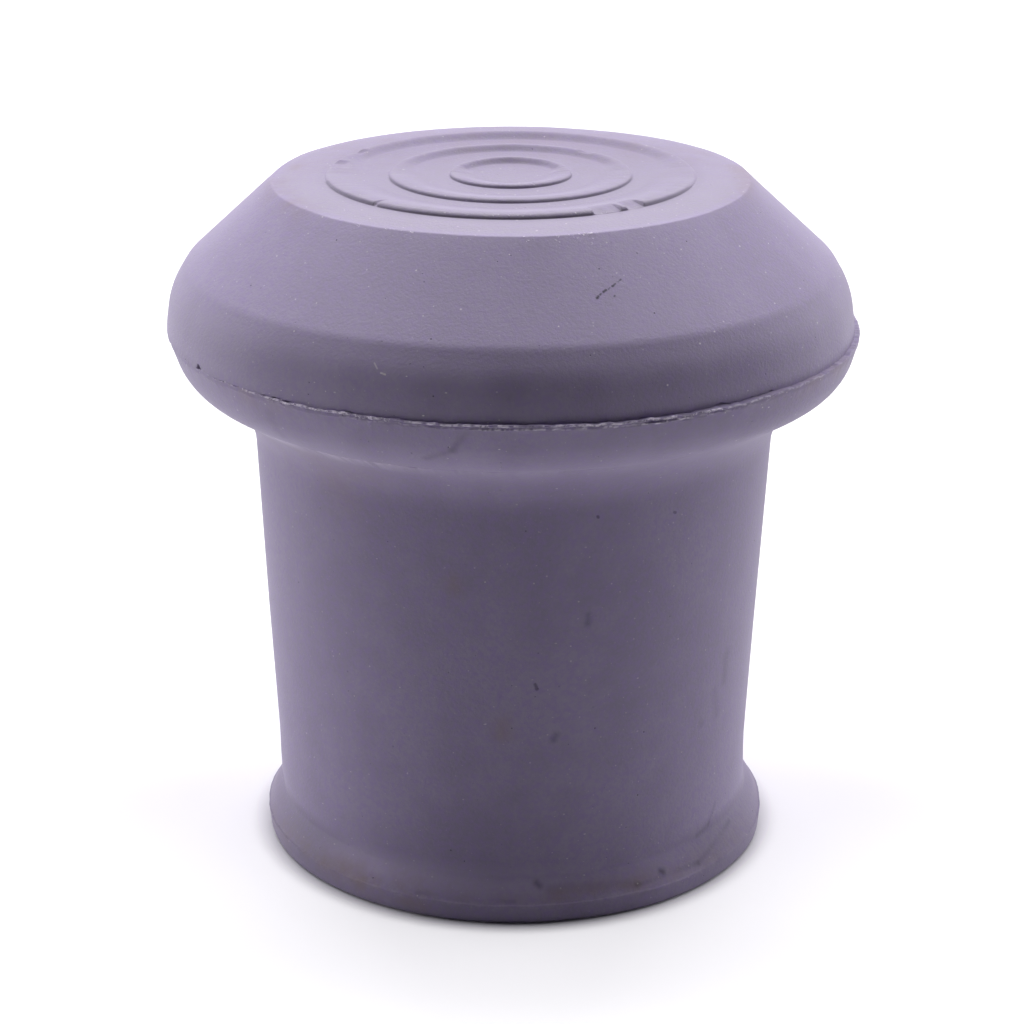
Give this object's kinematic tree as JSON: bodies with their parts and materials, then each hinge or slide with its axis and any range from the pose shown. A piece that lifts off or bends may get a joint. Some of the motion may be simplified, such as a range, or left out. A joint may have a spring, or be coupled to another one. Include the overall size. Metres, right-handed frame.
{
  "type": "cane tip",
  "caption": "Rubber cane tip: a tapered socket with a beaded mouth and a wide bevelled cap whose flat tread has concentric wear ribs.",
  "frame": {"origin": "centre of the mouth's rim, on the bore's axis, where the tip stands", "axes": "+Z along the bore's axis, from the open mouth up to the tread; -Y is the side shown at the front"},
  "size_m": [0.0401, 0.04, 0.0403],
  "materials": {
    "rubber": "matt moulded rubber, grey-violet, dusty and lightly soiled"
  },
  "bodies": {
    "root": {"cane_tip": "rubber"}
  },
  "joints": []
}
